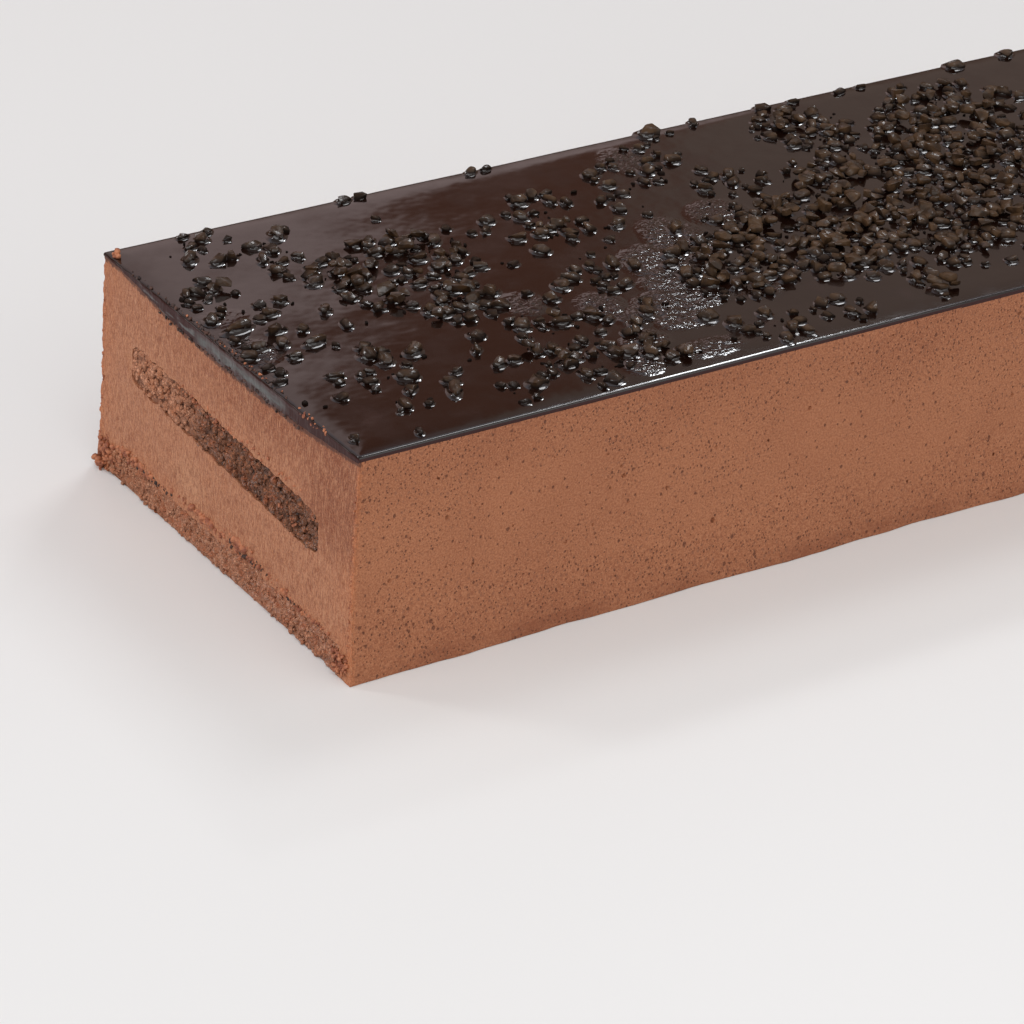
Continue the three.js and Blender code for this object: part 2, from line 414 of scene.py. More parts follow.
camera = {
    "place": (-512.02 * mm, -629.5 * mm, 415.52 * mm),
    "turn": (61.134, -2.815, -32.994),
    "lens": 147.0,
    "sensor": 36,
    "nearest": 0.01,
}
lights = {
    # name: (place, aims at, size x, size y, watts, colour)
    "overhead": ((-0.75, -0.6, 1.4), (-0.1, 0, 0), 1.4, 1.0, 8.4, (0.96, 0.985, 1.0)),
    "leftSide": ((-1.5, -0.1, 0.75), (0, 0, 0.02), 1.2, 1.0, 6.2, (0.96, 0.985, 1.0)),
    "frontFill": ((0.4, -1.8, 0.9), (0, 0, 0.02), 1.8, 1.2, 5.6, (0.99, 1.0, 0.99)),
    "rim": ((0.72, 0.5, 1.33), (0, 0, 0.05), 0.36, 0.5, 3.8, (0.97, 0.98, 1.0)),
    "sparkle": ((-0.9, 0.9, 1.1), (0, 0, 0.05), 0.22, 0.22, 2.6, (1.0, 1.0, 1.0)),
    "glint": ((0.8, 0.83, 1.04), (-0.05, 0, 0.05), 0.12, 0.12, 1.0, (0.94, 0.97, 1.0)),
}
floorLook = {"size": 8.0, "level": -0.1 * mm, "color": srgb(232, 232, 231), "roughness": 0.42}
# soft fields of light that the glaze mirrors, by heading from +Y towards +X (degrees) and by height
worldLook = {
    "crown": (0.24, 0.23, 0.23, 1), "high": (0.52, 0.52, 0.58, 1),
    "left": (0.64, 0.49, 0.475, 1), "gap": (0.19, 0.086, 0.06, 1),
    "right": (0.28, 0.21, 0.18, 1), "front": (0.60, 0.59, 0.585, 1),
    "leftEdge": (31.2, 33.2), "rightEdge": (35.2, 37.2), "slant": 37.0, "level": 0.43,
    "highEdge": (0.54, 0.66), "crownEdge": (0.68, 0.82),
    "horizon": (0.12, 0.07, 0.05, 1), "horizonEdge": (0.22, 0.34), "frontEdge": (70, 110),
}


def buildWorld():
    world = bpy.data.worlds.new("studio")
    world.use_nodes = True
    tree = world.node_tree
    sky = tree.nodes["Background"]
    x, y, z = place(tree, "ShaderNodeSeparateXYZ",
                    Vector=place(tree, "ShaderNodeTexCoord").outputs["Generated"]).outputs
    heading = calc(tree, "DEGREES", calc(tree, "ARCTAN2", x, y))
    slant = times(tree, minus(tree, z, worldLook["level"]), worldLook["slant"])
    slanted = plus(tree, heading, slant)
    low = blendColors(tree, remap(tree, slanted, *worldLook["leftEdge"]), worldLook["left"], worldLook["gap"])
    low = blendColors(tree, remap(tree, heading, *worldLook["rightEdge"]), low, worldLook["right"])
    color = blendColors(tree, remap(tree, z, *worldLook["highEdge"]), low, worldLook["high"])
    color = blendColors(tree, remap(tree, z, *worldLook["crownEdge"]), color, worldLook["crown"])
    color = blendColors(tree, remap(tree, z, *worldLook["horizonEdge"]), worldLook["horizon"], color)
    facing = remap(tree, calc(tree, "ABSOLUTE", heading), *worldLook["frontEdge"])
    color = blendColors(tree, facing, color, worldLook["front"])
    tree.links.new(color, sky.inputs["Color"])
    bpy.context.scene.world = world


def buildStage():
    bpy.ops.object.camera_add(location=camera["place"])
    view = bpy.context.object
    view.rotation_euler = Euler([math.radians(a) for a in camera["turn"]])
    view.data.lens = camera["lens"]
    view.data.sensor_width = camera["sensor"]
    view.data.clip_start = camera["nearest"]
    bpy.context.scene.camera = view
    for name, (spot, target, sizeX, sizeY, watts, tint) in lights.items():
        bpy.ops.object.light_add(type="AREA", location=spot)
        lamp = bpy.context.object
        lamp.name = name
        lamp.rotation_euler = (Vector(target) - Vector(spot)).to_track_quat("-Z", "Y").to_euler()
        lamp.data.shape = "RECTANGLE"
        lamp.data.size = sizeX
        lamp.data.size_y = sizeY
        lamp.data.energy = watts
        lamp.data.color = tint
    buildWorld()
    bpy.context.scene.view_settings.view_transform = "Standard"
    clearSelection()
    bpy.ops.mesh.primitive_plane_add(size=floorLook["size"], location=(0, 0, floorLook["level"]))
    floor = bpy.context.object
    floor.name = "floor"
    material, tree, surface = newMaterial("paleFloor")
    setInputs(tree, surface, Base_Color=floorLook["color"], Roughness=floorLook["roughness"])
    floor.data.materials.append(material)
    print("stage: camera, lights and floor are in place")


mousse = {
    "columns": 235, "rows": 75, "across": 15, "acrossCut": 9, "smooth": 40,
    "slump": 1.1 * mm, "slumpHeight": 9 * mm, "waves": ((28 * mm, 0.7), (8 * mm, 0.35)),
    "underGlaze": 0.15 * mm, "cornerReach": 1.4 * mm,
    # size and depth of the lumps, on what, and which way
    "lumps": [
        (7 * mm, 0.35 * mm, "ends", "X"), (1.8 * mm, 0.3 * mm, "ends", "X"),
        (30 * mm, 0.3 * mm, "sides", "Y"),
        (1.4 * mm, 1.0 * mm, "corners", "X"), (1.2 * mm, 0.8 * mm, "corners", "Y"),
    ],
    "pits": 420, "pitRadius": (0.16 * mm, 0.55 * mm), "pitHeight": (9 * mm, 46 * mm),
    # painted pores from faint to large: cell, reach in the cell, rarity
    "pores": [(1.2 * mm, 0.32, 1.6), (0.74 * mm, 0.3, 2.0), (1.4 * mm, 0.24, 6.0), (3.4 * mm, 0.14, 8.0)],
    "light": srgb(186, 126, 91), "middle": srgb(172, 111, 77), "dark": srgb(164, 104, 71),
    # the torn tone below is also used as painted shade under the glaze
    "shade": srgb(142, 84, 55), "cut": srgb(175, 120, 90), "tornAndShade": srgb(127, 69, 43),
    "orange": srgb(186, 114, 74), "red": srgb(116, 60, 38), "belowGlazeTone": srgb(74, 42, 34),
    # the two pore tones are painted shade inside the pores
    "pore": srgb(98, 52, 33), "faintPore": srgb(132, 84, 62),
    "tan": srgb(196, 146, 112), "tanSpot": (13 * mm, 13 * mm),
    "roughness": 0.6, "specular": 0.3, "bump": (0.85, 0.3 * mm),
}


def mousseShape(co):
    x, y, z = co
    side = abs(y) > log["halfWide"] - hair
    rise = z / mousse["slumpHeight"]
    (broadSize, broad), (fineSize, fine) = mousse["waves"]
    wave = 1 + broad * wobble(x, broadSize, 5) + fine * wobble(x, fineSize, 5, 2)
    out = mousse["slump"] * wave * math.exp(-rise * rise) if side else 0
    z *= (raggedUnder(y) + mousse["underGlaze"]) / log["top"]
    return Vector((x, y + math.copysign(out, y), z))


def cornerWeight(co):
    toEnd = cutAt(co.z) - abs(co.x)
    toSide = log["halfWide"] - abs(co.y)
    return max(0, 1 - math.hypot(toEnd, toSide) / mousse["cornerReach"])


def addPits():
    draw = randomFrom(5)
    clearSelection()
    bpy.ops.mesh.primitive_ico_sphere_add(subdivisions=2, radius=1)
    ball = bpy.context.object
    places = []
    for i in range(mousse["pits"]):
        radius = between(mousse["pitRadius"], draw() ** 4)
        side = -1 if draw() < 0.5 else 1
        x = (2 * draw() - 1) * (log["halfLong"] - log["past"])
        z = between(mousse["pitHeight"], draw())
        spot = Matrix.Translation((x, side * (log["halfWide"] + 0.1 * radius), z))
        stretch = Matrix.Diagonal((radius, radius * 1.3, radius * (0.8 + 0.5 * draw()), 1))
        places.append((0, spot @ stretch))
    return strew("pits", [ball], places)


def buildMousse():
    low = (-log["halfLong"], -log["halfWide"], 0)
    high = (log["halfLong"], log["halfWide"], log["top"])
    block = addBlock("mousseBlock", low, high)
    pickVertices(block, lambda co: co.z < hair)
    bpy.ops.transform.resize(value=(1 + log["lean"] / log["halfLong"], 1, 1))
    leaveEdit()
    splitEdges(block, 1, mousse["across"])
    splitEdges(block, 2, mousse["rows"])
    splitEdges(block, 0, mousse["columns"])
    splitEdges(block, 1, mousse["acrossCut"], lambda a, b: abs(a.x) > log["halfLong"] - 0.1 * mm)
    moveVertices(block, mousseShape)
    weigh(block, "ends", onEnds)
    weigh(block, "sides", onSides)
    weigh(block, "corners", cornerWeight)
    for lump in mousse["lumps"]:
        roughen(block, *lump)
    carve(block, addPits())
    carve(block, insertBody("tunnel", -insert["overlap"], log["past"]))
    carve(block, baseBody("notch", -base["overlap"], log["past"]))
    shadeSmooth(block, mousse["smooth"])
    print(f"mousse: {len(block.data.polygons)} faces")
    return block


# the strip of sponge inside; v and w run from -1 to 1 across and up it
insert = {
    "halfWide": 37.2 * mm, "halfHigh": 4.6 * mm, "middle": 0.3 * mm, "height": 27.5 * mm,
    "tilt": math.tan(math.radians(3.05)), "across": 230, "rows": 28, "smooth": 60,
    "lumps": (3.4 * mm, 0.7 * mm), "fineLumps": (1.3 * mm, 0.5 * mm),        # size and depth
    "recess": 0.55 * mm, "overlap": 0.12 * mm, "tear": (2.6 * mm, 1.0 * mm),
    "crumbCount": 760, "crumbSize": (0.7 * mm, 2.3 * mm), "crumbOut": (-0.75 * mm, 0.05 * mm),
    "grain": 0.8 * mm, "wetFrom": 26 * mm, "wetTo": 4 * mm,
    "dry": {"light": srgb(208, 148, 116), "middle": srgb(180, 120, 88), "dark": srgb(84, 48, 34),
            "stray": srgb(190, 122, 84)},
    "wet": {"light": srgb(150, 94, 63), "middle": srgb(106, 64, 41), "dark": srgb(34, 17, 11),
            "stray": srgb(160, 88, 52)},
}


def insertPlace(v, w, grow):
    y = insert["middle"] + v * (insert["halfWide"] + grow)
    half = (insert["halfHigh"] + grow) * (1 - 0.3 * abs(v) ** 26)        # rounded at both ends
    size, depth = insert["lumps"]
    fineSize, fineDepth = insert["fineLumps"]
    lump = depth * wobble(y, size, 11 * w) + fineDepth * wobble(y, fineSize, 7 * w, 4)
    middle = insert["height"] + insert["tilt"] * (y - insert["middle"])
    return y, middle + w * half + lump * abs(w)


def insertBody(name, grow, extra):
    block = addBlock(name, (-1, -1, -1), (1, 1, 1))
    splitEdges(block, 1, insert["across"])
    splitEdges(block, 2, insert["rows"])

    def shape(co):
        y, z = insertPlace(co.y, co.z, grow)
        return Vector((co.x * (cutAt(z) + extra), y, z))
    moveVertices(block, shape)
    return block


def buildInsert():
    strip = insertBody("insertSponge", 0, -insert["recess"])
    weigh(strip, "ends", lambda co: 1.0 if abs(co.x) > log["halfLong"] / 2 else 0)
    roughen(strip, *insert["tear"], "ends", detail=3)
    shadeSmooth(strip, insert["smooth"])
    print(f"insert sponge: {len(strip.data.polygons)} faces")
    return strip


# the sponge that the log stands on
base = {
    "halfWide": 46.5 * mm, "height": 6.6 * mm, "standOut": 0.1 * mm, "ridge": 1.7 * mm,
    "ridgeAt": -12 * mm, "ridgeWidth": 5 * mm, "across": 290, "rows": 22, "smooth": 60,
    "lumps": (4.2 * mm, 0.6 * mm), "fineLumps": (1.3 * mm, 0.3 * mm),        # size and depth
    "recess": 0.5 * mm, "overlap": 0.1 * mm, "tear": (3 * mm, 1.0 * mm),
    "crumbCount": 860, "crumbSize": (0.6 * mm, 1.9 * mm), "crumbOut": (-0.6 * mm, 0.1 * mm),
    "grain": 0.6 * mm, "wetFrom": 40 * mm, "wetTo": -30 * mm,
    "dry": {"light": srgb(200, 142, 110), "middle": srgb(172, 110, 77), "dark": srgb(84, 46, 31),
            "stray": srgb(186, 110, 72)},
    "wet": {"light": srgb(204, 144, 112), "middle": srgb(170, 108, 76), "dark": srgb(80, 43, 29),
            "stray": srgb(180, 104, 68)},
}


def baseTop(y):
    away = (y - base["ridgeAt"]) / base["ridgeWidth"]
    size, depth = base["lumps"]
    fineSize, fineDepth = base["fineLumps"]
    lump = depth * wobble(y, size, 3) + fineDepth * wobble(y, fineSize, 6)
    return base["height"] + lump + base["ridge"] * math.exp(-away * away)


def baseBody(name, grow, extra):
    block = addBlock(name, (-1, -1, 0), (1, 1, 1))
    splitEdges(block, 1, base["across"])
    splitEdges(block, 2, base["rows"])

    def shape(co):
        y = co.y * (base["halfWide"] + grow)
        foot = -max(0, extra)
        z = foot + co.z * (baseTop(y) + grow - foot)
        out = base["standOut"] * (1 - co.y ** 4) + extra
        return Vector((co.x * (cutAt(0) + out), y, z))
    moveVertices(block, shape)
    return block


def buildBase():
    slab = baseBody("baseSponge", 0, -base["recess"])
    weigh(slab, "ends", lambda co: min(1, co.z / mm) if abs(co.x) > log["halfLong"] / 2 else 0)
    roughen(slab, *base["tear"], "ends", detail=3)
    shadeSmooth(slab, base["smooth"])
    print(f"base sponge: {len(slab.data.polygons)} faces")
    return slab


glaze = {
    "edge": 1.0 * mm, "middle": 4.1 * mm, "deepestAt": -5 * mm, "reach": 48 * mm,
    "rim": 0.38 * mm, "strip": 0.9 * mm, "proud": 0.2 * mm,
    "wave": 0.1 * mm, "waveSize": (23 * mm, 19 * mm), "droop": 0.22 * mm, "droopReach": 2.2 * mm,
    "ragged": 0.35 * mm, "raggedSize": (2.1 * mm, 0.9 * mm), "raggedFrom": 6 * mm,
    "splits": (24, 15), "fineSplits": (18, 9), "bandSplits": 5, "smooth": 50,
    "pebbles": (2.4 * mm, 0.3 * mm), "drawn": (2.6 * mm, 0.4 * mm),        # size and depth
    "body": (0.009, 0.0033, 0.002, 1.0), "smudge": (0.024, 0.008, 0.005, 1.0),
    # the pale cut tone below is a painted reflection of light on the cut face of the glaze
    "cutSheen": (0.07, 0.07, 0.068, 1.0), "bandBody": (0.038, 0.012, 0.011, 1.0),
    "specular": 0.14, "coatRoughness": 0.06, "bump": (0.6, 0.3 * mm),
}
# where the glaze is pebbled and wet: place along and across, reach both ways (mm), how much
wetPatches = [
    (92, 27, 13, 7, 1.0), (98, 44, 9, 9, 0.9), (108, 50, 8, 13, 0.7), (88, 20, 8, 5, 0.8),
    (76, 32, 6, 7, 0.5), (75, 15, 6, 5, 0.6), (69, 7, 5, 5, 0.8), (85, 7, 9, 4, 0.7),
    (123, 58, 8, 7, 0.5), (62, 40, 6, 6, 0.4), (120, 88, 6, 8, 0.4), (4, 46, 6, 6, 0.9),
    (98, 35.5, 11, 6, 0.9), (80, 25, 6, 5, 0.5),
    (5, 62, 7, 4, 0.3), (110, 25, 8, 6, 0.4),
]


def glazeUnder(y):
    away = (y - glaze["deepestAt"]) / glaze["reach"]
    return log["top"] - glaze["edge"] - (glaze["middle"] - glaze["edge"]) * max(0, 1 - away * away)


def raggedUnder(y):
    size, fineSize = glaze["raggedSize"]
    ragged = wobble(y, size, 3) + 0.7 * wobble(y, fineSize, 8)
    toSide = log["halfWide"] - abs(y)
    return glazeUnder(y) + glaze["ragged"] * ragged * min(1, toSide / glaze["raggedFrom"])


def glazeLevel(x, y):
    longWave, wideWave = glaze["waveSize"]
    wave = glaze["wave"] * wobble(x, longWave, y / wideWave)
    toEdge = min(log["halfWide"] - abs(y), log["halfLong"] - abs(x)) / glaze["droopReach"]
    return log["top"] + wave - glaze["droop"] * math.exp(-max(0, toEdge) ** 1.5)


def wetness(co):
    along = (co.x + log["halfLong"]) / mm
    across = (co.y + log["halfWide"]) / mm
    return strongest(wetPatches, along, across, 2.5)


def buildGlaze():
    long, wide = log["halfLong"] + glaze["proud"], log["halfWide"]
    top, foot = log["top"], log["top"] - glaze["edge"]
    reach = (long, wide)
    sheet = addBlock("glazeSheet", (-long, -wide, foot), (long, wide, top))
    editAll()
    for normal, half in (((1, 0, 0), long), ((0, 1, 0), wide)):
        for sign in (-1, 1):
            slicePiece(Vector(normal) * sign * (half - glaze["strip"]), normal)
    leaveEdit()
    pickEdges(sheet, lambda a, b: min(a.z, b.z) > top - hair and (
        min(abs(a.x), abs(b.x)) > long - hair or min(abs(a.y), abs(b.y)) > wide - hair))
    bpy.ops.mesh.bevel(offset=glaze["rim"], segments=3, affect="EDGES")
    leaveEdit()
    for axis, cuts in enumerate(glaze["splits"]):
        splitEdges(sheet, axis, cuts, lambda a, b: (b - a).length > 10 * mm)
    for axis, cuts in enumerate(glaze["fineSplits"]):
        other = 1 - axis
        splitEdges(sheet, axis, cuts, lambda a, b: (b - a).length > 4 * mm and (
            a.z > foot + hair or abs(a[other]) > reach[other] - hair))
    splitEdges(sheet, 2, glaze["bandSplits"], lambda a, b: (
        abs(a.x) > long - hair and (b - a).length > 0.4 * mm))
    rimShare = glaze["rim"] / glaze["edge"]

    def shape(co):
        # what lies under the rim follows the ragged lower face, the rest the upper one
        down = (top - co.z) / glaze["edge"]
        share = max(0, (down - rimShare) / (1 - rimShare))
        under = raggedUnder(co.y) - foot
        level = glazeLevel(co.x, co.y) - top
        return Vector((co.x, co.y, co.z + share * under + (1 - share) * level))
    moveVertices(sheet, shape)
    weigh(sheet, "wet", lambda co: wetness(co) if co.z > top - log["nearFace"] else 0)
    weigh(sheet, "ends", onEnds)
    roughen(sheet, *glaze["pebbles"], "wet", "Z", detail=0)
    roughen(sheet, *glaze["drawn"], "ends", "X")
    mask = sheet.data.attributes.new("wetMask", "FLOAT", "POINT")
    for vertex in sheet.data.vertices:
        mask.data[vertex.index].value = wetness(vertex.co)
    shadeSmooth(sheet, glaze["smooth"])
    print(f"glaze: {len(sheet.data.polygons)} faces")
    return sheet


nibs = {
    "largest": 4.2 * mm, "smallest": 2.0 * mm, "densest": 0.2, "crowd": 1.2, "inset": (2, 1.5),
    "slimness": 0.66, "slimVary": (0.8, 1.3), "flatness": 0.44, "flatVary": (0.9, 1.3),
    "tilt": (0.6, 0.4), "sunk": 0.26, "spacing": 0.37,
    # on other nibs, where they lie thick
    "piled": 0.75, "pileFrom": 0.08, "pileOverlap": 0.35, "pileLift": 0.36,
    "shapes": 16, "block": 0.9, "skew": 0.1, "wornEdge": 0.27, "sharpEdge": 0.1, "breakAt": (0.28, 0.42),
    "splinters": 1300, "splinter": (0.6 * mm, 1.7 * mm), "splinterSlim": (0.35, 0.85),
    "splinterDensity": 0.14,
    "collarFoot": 0.72, "collarTop": 0.38, "collarHigh": 0.2, "collarLevels": (0.06, 0.2, 0.5),
    "collarLeast": 1.6 * mm, "collarSunk": 0.04 * mm, "smooth": 42, "collarSmooth": 60,
    "nearTone": (0.046, 0.022, 0.009, 1), "farTone": (0.07, 0.037, 0.0175, 1),
    # the foot tone, near black, is painted shade low on each nib where it meets the glaze
    "foot": (0.006, 0.0025, 0.0015, 1), "nearTo": -110 * mm, "farFrom": -40 * mm,
    "roughness": (0.9, 0.5), "specular": 0.14, "coatRoughness": 0.08, "bump": (0.4, 0.2 * mm),
}
# the nibs that stand out: place along and across, length (mm), slimness, turn (degrees)
chosenNibs = [
    (6, 56, 6.4, 0.36, 8), (12.5, 52.3, 4.6, 0.5, 12), (16.5, 44.4, 5.2, 0.42, 14),
    (10, 41, 3.2, 0.8, 0), (4.4, 74, 3.2, 0.5, 70), (7, 74.4, 4.2, 0.5, -50), (13, 88, 4.6, 0.55, 50),
    (16, 93, 3.8, 0.55, 30), (17.5, 84.5, 4.2, 0.5, 25), (34.5, 90, 5.2, 0.6, 60), (26, 81, 4, 0.5, 60),
    (29, 78.5, 3.6, 0.5, 20), (17.5, 25, 3.4, 0.8, 0), (25, 23.6, 4.6, 0.7, -40), (9, 22, 3.2, 0.85, 0),
    (22.5, 18.5, 3.8, 0.55, 40), (29.6, 14, 5.4, 0.4, 62), (45.6, 9.6, 4.4, 0.75, 20),
    (2.8, 6.6, 2.9, 0.6, 60), (16, 11.6, 2.2, 0.6, 45), (15, 3.2, 2.8, 0.55, 65), (31.5, 32, 4.4, 0.65, 30),
    (12.5, 30, 4, 0.45, -25), (43.5, 19.6, 3.6, 0.6, 40), (34.5, 21, 3, 0.6, 20), (43, 27, 3.8, 0.45, 50),
    (92, 18, 4.6, 0.85, 0), (54, 46, 5.4, 0.5, 35), (110, 55, 4.8, 0.55, 55), (106, 47, 5, 0.5, 60),
    (124, 86, 3.6, 0.7, 10), (2, 33, 3.4, 0.6, 10), (3, 39, 3, 0.6, -10), (75, 16, 3.6, 0.6, 30),
    (17, 98.2, 3.2, 0.6, 20), (22.5, 97.8, 3.4, 0.6, 50), (55.5, 98.4, 4, 0.6, 20),
    (59.5, 98.6, 2.8, 0.7, 0), (87, 98.4, 3.4, 0.6, 30), (91, 98.6, 2.8, 0.6, 10), (132.6, 98, 5, 0.8, 0),
    (145, 98.4, 3.4, 0.6, 60), (163.6, 98.2, 3.6, 0.8, 0), (172, 98.2, 3, 0.7, 0), (185, 98, 3.4, 0.6, 20),
    (191, 98.2, 2.8, 0.7, 0), (218, 98, 4.8, 0.8, 0), (233, 98.2, 4.2, 0.8, 30),
]
# soft patches: place along and across, reach both ways (mm), and nibs on each square mm
nibPatches = [
    (17, 90, 13, 9, 0.035), (29, 78, 6, 14, 0.05), (8, 73, 8, 8, 0.07), (12, 61, 13, 6, 0.055),
    (8, 46, 8, 6, 0.055), (2, 36, 4, 6, 0.07), (14, 37, 6, 8, 0.03), (21, 30, 12, 7, 0.055),
    (25, 20, 12, 9, 0.03), (38, 62, 11, 17, 0.075), (55, 67, 16, 17, 0.085), (52, 46, 14, 8, 0.08),
    (44, 14, 8, 12, 0.025), (60, 20, 12, 22, 0.08), (77, 12, 7, 11, 0.08), (75, 74, 5, 7, 0.08),
    (88, 62, 13, 11, 0.07), (92, 78, 11, 8, 0.05), (82, 42, 13, 8, 0.06), (80, 27, 12, 8, 0.045),
    (100, 8, 10, 9, 0.06), (112, 35, 18, 17, 0.1), (135, 40, 27, 26, 0.12), (160, 42, 28, 32, 0.13),
    (190, 56, 30, 27, 0.12), (120, 84, 15, 10, 0.055), (127, 96, 12, 5, 0.05), (107, 72, 7, 9, 0.04),
    (135, 68, 11, 11, 0.06), (166, 84, 14, 13, 0.11), (202, 80, 20, 15, 0.12), (116, 9, 11, 7, 0.045),
    (143, 10, 5, 9, 0.07), (225, 42, 28, 34, 0.12), (252, 58, 26, 30, 0.1), (280, 40, 16, 34, 0.06),
    (262, 20, 14, 14, 0.07), (3, 50, 3, 46, 0.012), (40, 50, 40, 50, 0.008),
]


def nibDensity(along, across):
    return nibs["crowd"] * strongest(nibPatches, along, across, 3)


def strewnNibs():
    # along, across, length, slimness, turn, and how high it lies on others
    draw = randomFrom(7)
    onPile = randomFrom(19)
    longSide = 2 * log["halfLong"] / mm
    wideSide = 2 * log["halfWide"] / mm
    insetLong, insetWide = nibs["inset"]
    tries = round(longSide * wideSide * nibs["densest"])
    largest, smallest = nibs["largest"] / mm, nibs["smallest"] / mm
    strewn = [(*nib, 0) for nib in chosenNibs]
    for i in range(tries):
        size = between((largest, smallest), i / tries)
        along = between((insetLong, longSide - insetLong), draw())
        across = between((insetWide, wideSide - insetWide), draw())
        slim = nibs["slimness"] * between(nibs["slimVary"], draw())
        turn = 360 * draw()
        density = nibDensity(along, across)
        if draw() * nibs["densest"] >= density:
            continue
        room = min(math.hypot(a - along, b - across) - nibs["spacing"] * (other + size)
                   for a, b, other, *rest in strewn)
        if room > 0:
            strewn.append((along, across, size, slim, turn, 0))
        elif density > nibs["pileFrom"] and room > -nibs["pileOverlap"] * size and onPile() < nibs["piled"]:
            strewn.append((along, across, size, slim, turn, nibs["pileLift"] * size))
    return strewn


def strewnSplinters():
    draw = randomFrom(29)
    for i in range(nibs["splinters"]):
        along = between((1, 2 * log["halfLong"] / mm - 1), draw())
        across = between((1, 2 * log["halfWide"] / mm - 1), draw())
        size = between(nibs["splinter"], draw() ** 2) / mm
        slim = between(nibs["splinterSlim"], draw())
        turn = 360 * draw()
        if draw() * nibs["splinterDensity"] < nibDensity(along, across):
            yield along, across, size, slim, turn, 0


def nibShape(index):
    # a chip of a bean: a skewed block with a few flat breaks; every other one is worn round
    draw = randomFrom(61 + index)
    worn = index % 2 == 0
    clearSelection()
    bpy.ops.mesh.primitive_cube_add(size=nibs["block"])
    shape = bpy.context.object
    editAll()
    bpy.ops.transform.vertex_random(offset=nibs["skew"], seed=index + 1)
    if worn:
        bpy.ops.mesh.bevel(offset=nibs["wornEdge"], segments=2, affect="EDGES", clamp_overlap=True)
    for i in range(2 if worn else 4):
        normal = Vector((draw() - 0.5, draw() - 0.5, 0.8 * (draw() - 0.4))).normalized()
        slicePiece(normal * between(nibs["breakAt"], draw()), normal, use_fill=True, clear_outer=True)
    if not worn:
        bpy.ops.mesh.select_all(action="SELECT")
        bpy.ops.mesh.bevel(offset=nibs["sharpEdge"], segments=1, affect="EDGES", clamp_overlap=True)
    leaveEdit()
    return shape


def collarShape():
    # the glaze that is drawn up against a nib
    foot, top = nibs["collarFoot"], nibs["collarTop"]
    clearSelection()
    bpy.ops.mesh.primitive_cone_add(vertices=12, radius1=foot, radius2=top, depth=1, location=(0, 0, 0.5))
    collar = bpy.context.object
    bpy.ops.object.transform_apply(location=True, rotation=True, scale=True)
    editAll()
    for level in nibs["collarLevels"]:
        slicePiece((0, 0, level), (0, 0, 1))
    leaveEdit()

    def concave(co):
        radius = top + (foot - top) * (1 - co.z) ** 4
        return Vector((co.x, co.y, 0)).normalized() * radius + Vector((0, 0, co.z))
    moveVertices(collar, concave)
    return collar


def buildNibs():
    shapes = [nibShape(i) for i in range(nibs["shapes"])]
    collar = collarShape()
    draw = randomFrom(33)
    nibPlaces, collarPlaces = [], []
    for along, across, size, slim, heading, lift in [*strewnNibs(), *strewnSplinters()]:
        x = along * mm - log["halfLong"]
        y = across * mm - log["halfWide"]
        size *= mm
        height = size * nibs["flatness"] * between(nibs["flatVary"], draw())
        level = glazeLevel(x, y)
        tiltX, tiltY = [most * (draw() - 0.5) for most in nibs["tilt"]]
        turn = Euler((tiltX, tiltY, math.radians(heading)))
        spot = Matrix.Translation((x, y, level + nibs["sunk"] * height + lift * mm))
        form = Matrix.Diagonal((size, size * slim, height, 1))
        nibPlaces.append((int(draw() * nibs["shapes"]), spot @ turn.to_matrix().to_4x4() @ form))
        if lift == 0 and size > nibs["collarLeast"]:
            foot = Matrix.Translation((x, y, level - nibs["collarSunk"])) @ Matrix.Rotation(turn.z, 4, "Z")
            high = 2 * nibs["collarHigh"] * height
            collarPlaces.append((0, foot @ Matrix.Diagonal((size, size * (slim + 0.1), high, 1))))
    nibPiece = strew("cocoaNibs", shapes, nibPlaces)
    collarPiece = strew("glazeCollars", [collar], collarPlaces)
    shadeSmooth(nibPiece, nibs["smooth"])
    shadeSmooth(collarPiece, nibs["collarSmooth"])
    print(f"nibs: {len(nibPlaces)} of them, {len(nibPiece.data.polygons)} faces")
    return nibPiece, collarPiece


crumbs = {
    "shapes": 6, "block": 0.66, "skew": 0.14, "puff": 0.9, "dent": 0.07,
    "lightTone": srgb(184, 116, 80), "darkTone": srgb(132, 72, 48),
    "cutFaceTone": srgb(78, 48, 36), "burnt": srgb(34, 19, 15),
    "roughness": 0.6, "bump": (0.5, 0.15 * mm),
}
# loose crumbs: middle (out of the cut, y, z), spread, how many, size from and to (mm)
mousseClusters = [
    ((-0.1, 47.2, 4.5), (0.9, 3.4, 4.0), 130, 0.5, 1.6),
    ((0.6, 48.8, 1.6), (1.0, 1.6, 1.4), 45, 0.5, 1.6),
    ((0.1, 36, 7.6), (0.3, 10, 1.6), 70, 0.3, 1.4),
    ((0.0, -2, 8.2), (0.25, 26, 1.0), 110, 0.3, 1.1),
    ((-0.1, -8, 9.4), (0.2, 7, 1.2), 24, 0.8, 2.0),
    ((0.0, 6, 8.6), (0.2, 6, 0.9), 22, 0.8, 2.0),
    ((0.0, -32, 7.2), (0.3, 12, 0.8), 60, 0.3, 1.1),
    ((0.1, -47.0, 3.2), (0.7, 3.2, 3.2), 110, 0.4, 1.4),
    ((-0.2, -49.4, 24), (0.4, 0.5, 24), 150, 0.2, 0.7),
    ((-0.2, 49.4, 24), (0.4, 0.5, 24), 150, 0.2, 0.8),
    ((-0.3, -33, 48.2), (0.6, 7, 0.9), 60, 0.3, 1.1),
    ((-0.6, 0, 48.6), (0.5, 24, 0.5), 50, 0.3, 0.8),
    ((-0.7, 46.5, 49.5), (0.7, 0.9, 0.5), 7, 0.7, 1.6),
    ((0.0, -24, 25), (0.2, 8, 3), 12, 0.4, 1.0),
    ((-0.1, 0, 32.3), (0.2, 34, 1.6), 60, 0.3, 1.0),
]
